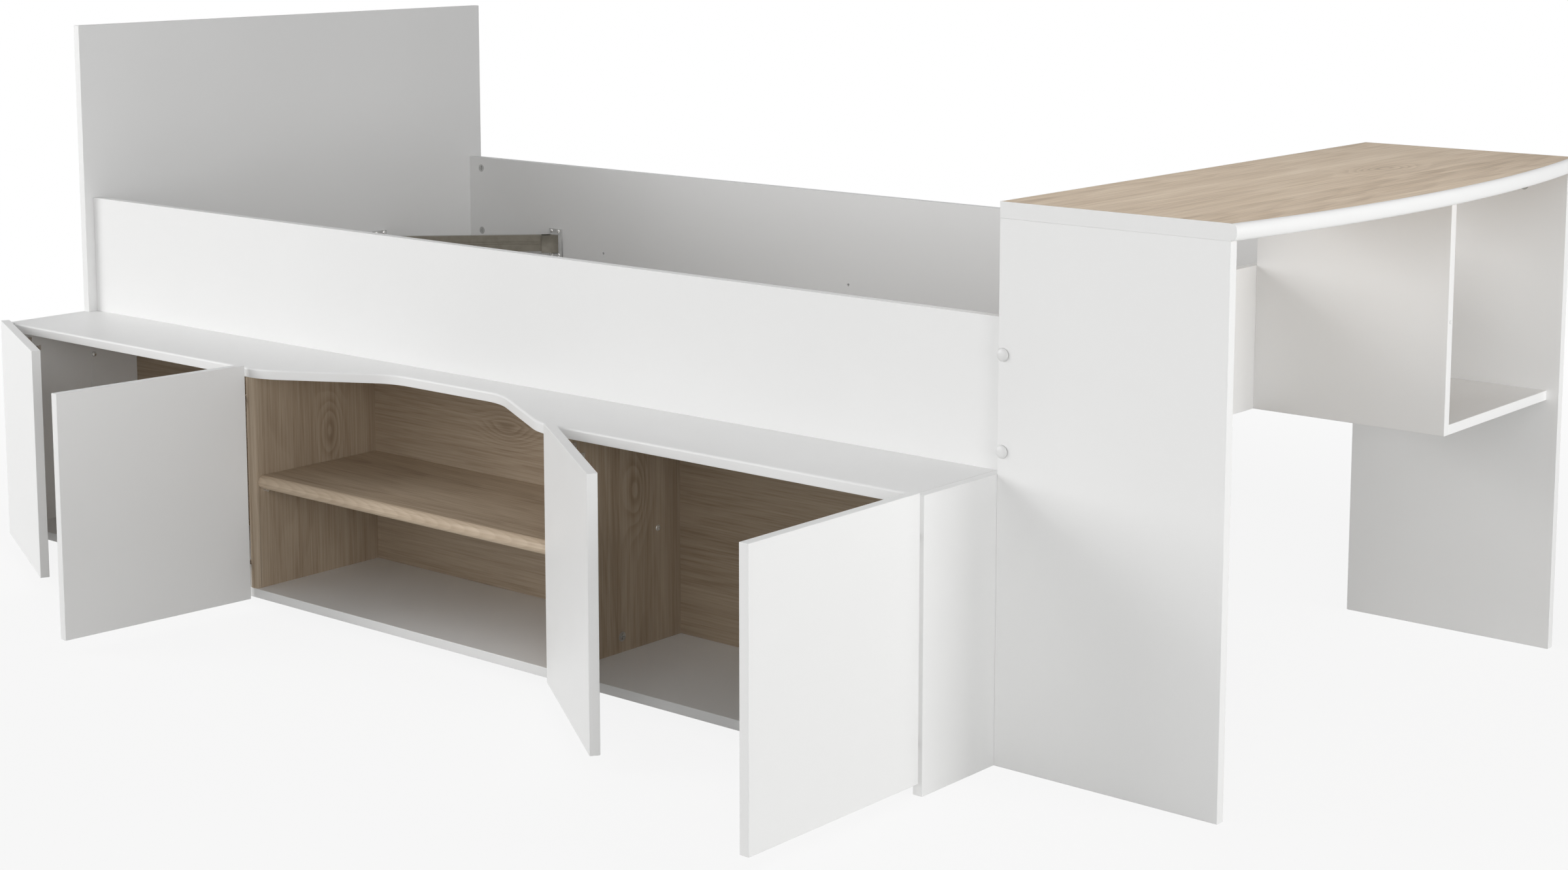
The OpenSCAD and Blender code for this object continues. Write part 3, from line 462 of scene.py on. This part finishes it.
def metal(name, colour, gloss, grain_scale, grain_depth, metallic=1.0):
    """A noise dulls the colour in patches and moves the roughness about gloss, and a finer one
    lifts the surface."""
    material, tree, shader, place = new_material(name)
    shader.inputs["Metallic"].default_value = metallic
    patch = noise(tree, place, *METAL_PATCH)
    patchy_colour(tree, shader, patch, colour, METAL_DIM)
    rough = span(tree, patch, gloss - BRIGHTER, gloss + DULLER, *NOISE_MOST)
    tree.links.new(rough, shader.inputs["Roughness"])
    relief(tree, shader, noise(tree, place, grain_scale, GRAIN_DETAIL), GRAIN_STRENGTH, grain_depth)
    return material


nickel = metal("nickel_plate", colour=(0.88, 0.87, 0.85, 1.0), gloss=0.27,
               grain_scale=900.0, grain_depth=0.00002, metallic=0.8)
zinc = metal("cast_zinc", colour=(0.58, 0.58, 0.57, 1.0), gloss=0.42,
             grain_scale=1400.0, grain_depth=0.00006)
olive = metal("olive_paint", colour=(0.28, 0.255, 0.205, 1.0), gloss=0.42,
              grain_scale=900.0, grain_depth=0.00004, metallic=0.0)
plate_grey = metal("bracket_plate_paint", colour=(0.66, 0.66, 0.65, 1.0), gloss=0.45,
                   grain_scale=900.0, grain_depth=0.00004, metallic=0.0)
finish_of = {"white_board": white_board, "white_edging": white_edging,
             "white_plastic": white_plastic, "oak_board": oak_desk, "brace_metal": olive,
             "steel": nickel, "zinc": zinc, "beech": beech}
print("finishes", len(finish_of))

# %% [markdown]
# ## Boards with softened edges
#
# A sawn and edged board never has a knife-sharp edge: the edging is milled to a radius of under
# a millimetre, and that thin round is what catches the light. A copy of each CAD board is
# merged, its flat faces are joined, and a Bevel modifier rounds its long edges. Drilled holes
# have short edges and keep their crisp rims.

# %% Helpers for finished pieces
finished = {}


def read(items, key, width=1, kind=np.float64):
    """One property of all items as an array, with a row to an item where it has several values."""
    values = np.empty(len(items) * width, dtype=kind)
    items.foreach_get(key, values)
    return values.reshape(-1, width) if width > 1 else values


def stand_for(piece, name, material):
    """A finished piece replaces its CAD node: it rides on the same body and takes the finish that
    it is given.
    """
    bpy.context.scene.collection.objects.link(piece)
    piece.data.materials.append(material)
    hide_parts(name)
    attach(piece, frame["nodes"][name]["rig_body"])
    finished[name] = piece


def even_normals(piece):
    """Smooth shading in which a large flat face keeps its own direction."""
    piece.data.shade_smooth()
    piece.modifiers.new("flat_faces", "WEIGHTED_NORMAL").keep_sharp = True


print("helpers", [helper.__name__ for helper in (read, stand_for, even_normals)])

# %% Softened copies of the boards
ARRIS, ARRIS_STEPS, SHORT_EDGE = 0.0009, 2, 0.003   # shorter edges stay crisp
SHARP, FLAT, MERGE = math.radians(35), math.radians(0.4), 2e-6


def softened(name, material, radius=ARRIS, shortest=SHORT_EDGE):
    """Copies a node, merges and flattens it, and bevels each long sharp edge. Returns how many."""
    mesh = frame["nodes"][name].data.copy()
    mesh.name = "finished_" + name
    work = bmesh.new()
    work.from_mesh(mesh)
    bmesh.ops.remove_doubles(work, verts=work.verts, dist=MERGE)
    bmesh.ops.dissolve_limit(work, angle_limit=FLAT, verts=work.verts, edges=work.edges)
    weight = work.edges.layers.float.new("bevel_weight_edge")
    sharp = [e for e in work.edges if len(e.link_faces) == 2 and e.calc_face_angle(0.0) > SHARP]
    for edge in sharp:
        edge[weight] = float(edge.calc_length() > shortest)
        edge.smooth = edge[weight] > 0
    rounded = sum(edge.smooth for edge in sharp)
    work.to_mesh(mesh)
    work.free()
    for layer in ("custom_normal", "sharp_face"):
        if layer in mesh.attributes:
            mesh.attributes.remove(mesh.attributes[layer])
    mesh.materials.clear()
    piece = bpy.data.objects.new("finished_" + name, mesh)
    bevel = piece.modifiers.new("arris", "BEVEL")
    bevel.width, bevel.segments, bevel.limit_method = radius, ARRIS_STEPS, "WEIGHT"
    even_normals(piece)
    stand_for(piece, name, material)
    return rounded


print("arris", ARRIS * 1000, "mm")

# %% White boards
RAIL_ARRIS = 0.0004
WHITE_BOARDS = ["headboard", "footboard", "front_rail", "back_rail", "desk_side_front",
                "desk_side_back", "desk_niche_wall", "desk_niche_shelf", "cabinet_bottom",
                "cabinet_end_left", "cabinet_end_right", "door_1", "door_2", "door_3", "door_4"]
for name in WHITE_BOARDS:
    radius = RAIL_ARRIS if name == "front_rail" else ARRIS
    print(name, "rounded edges", softened(name, white_board, radius=radius))

# %% [markdown]
# ## The front rail's foot
#
# The front rail stands on the cabinet top, and the seam between them is a hairline. CAD keeps
# half a millimetre of air there, and a round on the rail's foot would widen it to a dark line.
# So the points of the rail's foot sink by most of that gap, and the edges round it stay crisp.

# %% The front rail stands on the cabinet top
RAIL_SINK, FOOT_LAYER = 0.0004, 0.0002
rail = finished["front_rail"].data
points = read(rail.vertices, "co", 3)
in_foot = points[:, 2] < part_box("front_rail")[0].z + FOOT_LAYER
points[in_foot, 2] -= RAIL_SINK
rail.vertices.foreach_set("co", points.ravel())
foot_edge = in_foot[read(rail.edges, "vertices", 2, np.int32)].all(axis=1)
bevel_weight = rail.attributes["bevel_weight_edge"].data
weights = np.where(foot_edge, 0, read(bevel_weight, "value", kind=np.float32))
bevel_weight.foreach_set("value", weights.astype(np.float32))
crisp = read(rail.edges, "use_edge_sharp", kind=bool)
rail.edges.foreach_set("use_edge_sharp", crisp | foot_edge)
print("rail foot points", int(in_foot.sum()))

# %% [markdown]
# ## The cabinet top and its curved front
#
# The open niche has a reach-in curve cut into the cabinet top. On the real board this is one
# milled sweep: straight, a bend, a slope, a counter-bend and straight again, with an edging that
# is rounder above than below. A bevel on a many-sided cut-out tears easily, so this board is
# built as a surface of its own: for each point along the front, the board's section is a
# rectangle with a rounded front.

# %% Grids of points made into meshes
def surfaces(name, grids):
    """One mesh from closed grids of the same size, each an array of rows x columns x 3 points: the
    last column joins the first, and the first and the last row are filled."""
    rows, columns = grids[0].shape[:2]
    row, column = np.meshgrid(np.arange(rows - 1), np.arange(columns), indexing="ij")
    beside = (column + 1) % columns
    quads = np.stack([row * columns + column, (row + 1) * columns + column,
                      (row + 1) * columns + beside, row * columns + beside], axis=-1).reshape(-1, 4)
    starts = np.arange(len(grids))[:, None] * rows * columns
    faces = (quads + starts[..., None]).reshape(-1, 4).tolist()
    first_row = starts + np.arange(columns)
    last_row = first_row + (rows - 1) * columns
    faces += first_row.tolist() + last_row[:, ::-1].tolist()
    mesh = bpy.data.meshes.new(name)
    mesh.from_pydata(np.concatenate([grid.reshape(-1, 3) for grid in grids]).tolist(), [], faces)
    work = bmesh.new()
    work.from_mesh(mesh)
    bmesh.ops.recalc_face_normals(work, faces=work.faces)
    work.to_mesh(mesh)
    work.free()
    return bpy.data.objects.new(name, mesh)


def smooth_piece(name, grids, material):
    """Builds a rounded piece from its grids, and lets it stand for its CAD node."""
    piece = surfaces("finished_" + name, grids)
    even_normals(piece)
    stand_for(piece, name, material)


print("helpers", surfaces.__name__, smooth_piece.__name__)

# %% The front line of the cabinet top
RECESS_DEEP, RECESS_FLAT, RECESS_SLOPE, RECESS_BEND = 0.112, 0.246, math.radians(30), 0.120
WALK_STEP, KEEP_EVERY, WALK_SPARE, LAST_GAP = 0.001, 4, 0.2, 0.002


def front_curve(half_length):
    """The front line from the middle outwards, as a function of the way walked: the heading is 0,
    turns to the slope over one bend, stays, and turns back. Place = the running sum of the
    heading's cosine and sine. Returns x, y and heading for every fourth step and the end."""
    bend = RECESS_BEND * RECESS_SLOPE
    tangent = RECESS_BEND * math.tan(RECESS_SLOPE / 2)
    straight = RECESS_DEEP / math.sin(RECESS_SLOPE) - 2 * tangent
    flat = RECESS_FLAT / 2 - tangent
    turns = np.cumsum([0, flat, bend, straight, bend])
    walked = np.arange(0, half_length + WALK_SPARE, WALK_STEP)
    heading = np.interp(walked, turns, [0, 0, RECESS_SLOPE, RECESS_SLOPE, 0])
    middle = (heading[1:] + heading[:-1]) / 2
    x = np.concatenate([[0], np.cumsum(np.cos(middle)) * WALK_STEP])
    y = RECESS_DEEP - np.concatenate([[0], np.cumsum(np.sin(middle)) * WALK_STEP])
    keep = np.arange(0, len(x), KEEP_EVERY)
    keep = keep[x[keep] < half_length - LAST_GAP]
    return np.append(x[keep], half_length), np.append(y[keep], 0.0), np.append(heading[keep], 0.0)


low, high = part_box("cabinet_top")
half_x, half_y, half_slope = front_curve((high.x - low.x) / 2)
print("points on half the front", len(half_x))

# %% Cabinet top as a row of sections
TOP_ROUND, UNDER_CUT = 0.0035, 0.0001          # radius of the upper edge; air under the board
ROUND_POINTS, ROUND_FACE = 7, 0.00003          # faces of the rounds are smaller, in square metres
line_x = np.concatenate([-half_x[:0:-1], half_x]) + (low.x + high.x) / 2
line_y = np.concatenate([half_y[:0:-1], half_y]) + low.y
stretch = 1 / np.cos(np.concatenate([half_slope[:0:-1], half_slope]))
quarter = np.linspace(0, math.pi / 2, ROUND_POINTS)
upper = np.stack([TOP_ROUND * (1 - np.sin(quarter)), -TOP_ROUND * (1 - np.cos(quarter))], 1)[::-1]
lower = np.stack([ARRIS * (1 - np.sin(quarter[::2])), ARRIS * (1 - np.cos(quarter[::2]))], 1)
front = np.concatenate([lower + [0, low.z + UNDER_CUT], upper + [0, high.z]])
sections = np.empty((len(line_x), len(front) + 2, 3))
sections[..., 0] = line_x[:, None]
sections[:, :len(front), 1] = line_y[:, None] + front[:, 0] * stretch[:, None]
sections[:, :len(front), 2] = front[:, 1]
sections[:, len(front):, 1] = high.y
sections[:, len(front):, 2] = [high.z, low.z + UNDER_CUT]
cabinet_top = surfaces("finished_cabinet_top", [sections])
faces = cabinet_top.data.polygons
faces.foreach_set("use_smooth", read(faces, "area") < ROUND_FACE)
stand_for(cabinet_top, "cabinet_top", white_board)
print("cabinet top sections", len(line_x), "deepest", round(max(line_y) - low.y, 4))

# %% [markdown]
# ## Oak boards
#
# The dividers and the shelf have half-round fronts, wrapped in the same film as their faces.
# Each board is cut from its own log, so each kind gets an oak of its own, with the grain the way
# the photograph shows it: upright on the dividers, lengthways on the back and the shelf, and
# across the bed on the desk. Each kind also gets painted light: the desk top is painted brighter
# for the sheen that it catches, and the boards inside the cabinet darker for the shade there.
# The shelf's nose has its own strip of film, painted lighter than the shelf's faces.

# %% Oak pieces
OAK_ARRIS = 0.0005
OAK_BOARDS = {"desk_top": oak_desk, "divider_left": oak_divider, "divider_right": oak_divider,
              "cabinet_back": oak_back, "niche_shelf": oak_shelf}
for name, material in OAK_BOARDS.items():
    print(name, "rounded edges", softened(name, material, radius=OAK_ARRIS))

# %% The shelf's nose
NOSE = 0.011
shelf = finished["niche_shelf"].data
shelf.materials.append(oak_nose)
in_nose = read(shelf.polygons, "center", 3)[:, 1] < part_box("niche_shelf")[0].y + NOSE
shelf.polygons.foreach_set("material_index", in_nose.astype(np.int32))
print("nose faces", int(in_nose.sum()))

# %% [markdown]
# ## The rounded front edging of the desk
#
# The desk top bows out, and a soft white edging with a nearly half-round face is wrapped along
# the bow. A profile carried along a path describes it well: the path is the arc of the bow, and
# the profile is a swollen half-ellipse. Both ends are drawn in over their last two millimetres,
# as a cut and filed end is.

# %% The bow of the desk
BOW, BULGE = 0.045, 0.008                      # how far the arc and the edging stand out
low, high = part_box("desk_front_edging")
middle_y, half_width = (low.y + high.y) / 2, (high.y - low.y) / 2
middle_z, half_thick = (low.z + high.z) / 2, (high.z - low.z) / 2
bow_radius = (half_width ** 2 + BOW ** 2) / (2 * BOW)
bow_x = high.x - BULGE - bow_radius
print("bow radius", round(bow_radius, 4))

# %% Desk edging as a profile along the bow
BOW_ROWS, END_ROWS, FACE_POINTS = 97, 7, 25
END_ROUND, END_SHARE = 0.002, 0.5              # length of the drawn-in end; share it draws in
OUT_POWER, UP_POWER = 0.75, 0.92               # powers under 1 swell the half-ellipse
quarter = np.linspace(0, math.pi / 2, END_ROWS)
end_steps = END_ROUND / half_width * (1 - np.cos(quarter))[:-1]
along = np.concatenate([-1 + end_steps, np.linspace(-1, 1, BOW_ROWS)[1:-1], 1 - end_steps[::-1]])
ends = np.sin(quarter)[:-1]
drawn_in = np.concatenate([ends, np.ones(len(along) - 2 * len(ends)), ends[::-1]])
angle = np.arcsin(along * half_width / bow_radius)
turn = np.linspace(-math.pi / 2, math.pi / 2, FACE_POINTS)
out = BULGE * np.cos(turn) ** OUT_POWER
up = half_thick * np.sign(np.sin(turn)) * np.abs(np.sin(turn)) ** UP_POWER
shrink = END_ROUND * END_SHARE * (1 - drawn_in)[:, None]
reach = bow_radius + np.maximum(out - shrink, 0)
rise = up * (1 - shrink / half_thick)
edging = np.stack([bow_x + reach * np.cos(angle)[:, None],
                   middle_y + reach * np.sin(angle)[:, None],
                   np.broadcast_to(middle_z + rise, reach.shape)], axis=-1)
edging[..., 1] = np.clip(edging[..., 1], low.y, high.y)
smooth_piece("desk_front_edging", [edging], white_edging)
print("edging rows", len(along))

# %% [markdown]
# ## Domed caps
#
# Two push-on caps cover the bolt heads on each desk side. A small white plug closes a hole in
# the niche wall, and the bright round head of a fitting shows on the headboard near its front
# edge. Each is a surface of revolution: a short upright rim, then a quarter of an ellipse up to
# its crown.

# %% Surfaces of revolution
DOME_RINGS, DOME_POWER, CROWN = 12, 0.9, 0.02  # the crown is a tiny flat ring that closes the dome
UPRIGHT = 0.9                                  # an axis steeper than this is crossed with x, not z


def ring_round(axis, steps):
    """Angles a, and the directions cos a x first + sin a x second, where first and second are
    square to each other and to the axis."""
    helper = np.array([0, 0, 1.0]) if abs(axis[2]) < UPRIGHT else np.array([1.0, 0, 0])
    first = np.cross(axis, helper)
    first /= np.linalg.norm(first)
    second = np.cross(axis, first)
    angle = np.linspace(0, 2 * math.pi, steps, endpoint=False)
    return angle, np.cos(angle)[:, None] * first + np.sin(angle)[:, None] * second


def revolved(foot, axis, stations, steps=40):
    """Rings round an axis: stations lists (radius, height), and each ring is foot + height x axis +
    radius x the directions round the axis."""
    axis = np.array(axis, float) / np.linalg.norm(axis)
    ring = ring_round(axis, steps)[1]
    radius, height = np.array(stations, float).T[..., None, None]
    return np.array(foot) + height * axis + radius * ring


def dome(radius, height, rim):
    """Stations of a cap: a rim, then radius x cos b and rim + (height - rim) x sin b for b up to a
    right angle, ending in the crown."""
    bend = np.linspace(0, math.pi / 2, DOME_RINGS)[:-1]
    arch = [(radius * math.cos(b) ** DOME_POWER, rim + (height - rim) * math.sin(b)) for b in bend]
    return [(radius, 0.0)] + arch + [(radius * CROWN, height)]


print("rings of a dome", len(dome(1, 1, 0)))

# %% Caps over the desk bolts
CAP_RADIUS, CAP_HEIGHT, CAP_RIM = 0.009, 0.005, 0.0012
low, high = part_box("bolt_caps")
desk_front, desk_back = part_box("desk_side_front")[0].y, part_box("desk_side_back")[1].y
cap = dome(CAP_RADIUS, CAP_HEIGHT, CAP_RIM)
caps = [revolved(((low.x + high.x) / 2, side, z), (0, out, 0), cap)
        for side, out in ((desk_front, -1), (desk_back, 1))
        for z in (low.z + CAP_RADIUS, high.z - CAP_RADIUS)]
smooth_piece("bolt_caps", caps, white_plastic)
print("caps", len(caps))

# %% Plug and fitting head
HEAD_PLUG_IN, HEAD_PLUG_UP, WALL_PLUG_UP = 0.0067, 0.3220, 0.555
head_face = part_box("headboard")[1].x
wall_low, wall_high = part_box("desk_niche_wall")
PLUGS = [   # name, foot, (radius, height, rim), finish, slot
    ("head_plug", (head_face, desk_front + HEAD_PLUG_IN, HEAD_PLUG_UP),
     (0.0048, 0.0046, 0.0004), nickel, "steel"),
    ("wall_plug", (wall_high.x, (wall_low.y + wall_high.y) / 2, WALL_PLUG_UP),
     (0.0028, 0.0012, 0.0004), white_plastic, "white_plastic")]
for name, foot, (radius, height, rim), material, slot in PLUGS:
    piece = surfaces(name, [revolved(foot, (1, 0, 0), dome(radius, height, rim))])
    even_normals(piece)
    piece.data.materials.append(material)
    bpy.context.scene.collection.objects.link(piece)
    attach(piece, "root")
print("plugs", len(PLUGS))

# %% [markdown]
# ## Screws with a pressed cross
#
# A plain CAD screw is a rod with a flat disc. A real one has a domed head with a cross pressed
# into it for the driver. The head is still a surface of revolution, but the rings near its
# middle follow a four-pointed star: outside the star they climb the dome, and inside it they
# drop to the floor of the recess.

# %% Find the separate solids of a node
DIGITS = 6                                     # corners that agree to a micrometre are one point


def islands(name):
    """The separate solids of a node, as arrays of points: every point starts with its own number,
    and the smallest number spreads over the triangles until nothing changes."""
    mesh = frame["nodes"][name].data
    rounded = np.round(read(mesh.vertices, "co", 3), DIGITS)
    spots, index = np.unique(rounded, axis=0, return_inverse=True)
    triangles = index.ravel()[read(mesh.loops, "vertex_index", kind=np.int64)].reshape(-1, 3)
    label, changed = np.arange(len(spots)), True
    while changed:
        fresh = label.copy()
        np.minimum.at(fresh, triangles.ravel(), np.repeat(label[triangles].min(axis=1), 3))
        changed = bool((fresh != label).any())
        label = fresh
    return [spots[label == n] for n in np.unique(label)]


rods_of = {name: islands(name) for name in ("brace_screws", "shelf_screws", "hinge_arm_screws",
                                            "cup_screws_1", "cup_screws_2", "cup_screws_3",
                                            "cup_screws_4")}
print("screws", sum(len(rods) for rods in rods_of.values()))

# %% Screws as stars in domes
NEAR = 1e-5                                    # metres within which points count as one ring
STAR_CORE, STAR_REACH, STAR_POWER = 0.14, 0.40, 8
HEAD_RIM = ((0.97, 0.0), (1.0, 0.12), (0.995, 0.3))   # shares of the head's radius and of its crown
HEAD_RINGS, HEAD_FALL = (0.96, 0.85, 0.68), 0.85      # rings of the dome, and its fall at the rim
STAR_MARGIN = 1.02                             # the dome's rings stay this much outside the star
WALL_IN, WALL_DOWN = 0.9, 0.62                 # foot of the cross's walls: shares of star and crown
FLOOR_IN, FLOOR_DOWN = 0.05, 0.75              # middle of the cross's floor: the same two shares


def screw(points, steps=32):
    """One screw from the points of its CAD rod: the axis is their longest spread, and the head is
    the wide end. Star = radius x (core + reach x |cos 2a| to the 8th), and dome = underside +
    crown x square root of (1 - 0.85 x (r / radius) squared)."""
    middle = points.mean(axis=0)
    axis = np.linalg.svd(points - middle, full_matrices=False)[2][0]
    height = (points - middle) @ axis
    away = np.linalg.norm(points - middle - height[:, None] * axis, axis=1)
    if height[away.argmax()] < 0:
        axis, height = -axis, -height
    tip, top = height.min(), height.max()
    at_tip = height < tip + NEAR
    centre = points[at_tip].mean(axis=0) - axis * tip
    shank, head = away[at_tip].max(), away.max()
    under = height[away > head - NEAR].min()
    crown = top - under

    def dome_height(r):
        return under + crown * np.sqrt(np.clip(1 - (r / head) ** 2 * HEAD_FALL, 0, 1))

    angle, ring = ring_round(axis, steps)
    flat = np.ones(steps)
    star = head * (STAR_CORE + STAR_REACH * np.abs(np.cos(2 * angle)) ** STAR_POWER)
    rows = [(flat * shank, flat * tip), (flat * shank, flat * under)]
    rows += [(flat * head * share, flat * (under + crown * lift)) for share, lift in HEAD_RIM]
    for share in HEAD_RINGS:
        r = np.maximum(head * share, star * STAR_MARGIN)
        rows.append((r, dome_height(r)))
    rows += [(star, dome_height(star)), (star * WALL_IN, dome_height(star) - crown * WALL_DOWN),
             (star * FLOOR_IN, flat * (top - crown * FLOOR_DOWN))]
    radius = np.array([r for r, h in rows])[..., None]
    rise = np.minimum(np.array([h for r, h in rows]), top)[..., None]
    return centre + rise * axis + radius * ring


print("points on a screw", len(screw(rods_of["brace_screws"][0]).reshape(-1, 3)))

# %% Finished screws
for name, rods in rods_of.items():
    smooth_piece(name, [screw(points) for points in rods], nickel)
    print(name, len(rods))

# %% [markdown]
# ## Parts that keep their CAD shape
#
# Braces, brackets, hinges and cams are already right in CAD. The ones that show get softened
# edges too, and the rest only their finish. A bracket's plate is lighter than the profile that
# it holds, so its faces close to the boards take a second finish.

# %% Braces, hinges and fittings
FITTING_ARRIS, FITTING_EDGE = 0.0003, 0.0025
for name in sorted(set(frame["nodes"]) - set(finished)):
    finish = finish_of[slot_of[name]]
    if name.startswith(("brace", "hinge")) or name.endswith(("cams", "edging")):
        softened(name, finish, radius=FITTING_ARRIS, shortest=FITTING_EDGE)
    else:
        materials = frame["nodes"][name].data.materials
        materials.clear()
        materials.append(finish)
print("finished pieces", len(finished))

# %% The paler plates of the brackets
PLATE = 0.0042
brackets = finished["brace_brackets"].data
brackets.materials.append(plate_grey)
x, y = read(brackets.polygons, "center", 3).T[:2]
rail_front, rail_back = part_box("front_rail")[1].y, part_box("back_rail")[0].y
foot_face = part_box("footboard")[0].x
near = ((y < rail_front + PLATE) | (y > rail_back - PLATE)
        | (x < head_face + PLATE) | (x > foot_face - PLATE))
brackets.polygons.foreach_set("material_index", near.astype(np.int32))
print("plate faces", int(near.sum()))
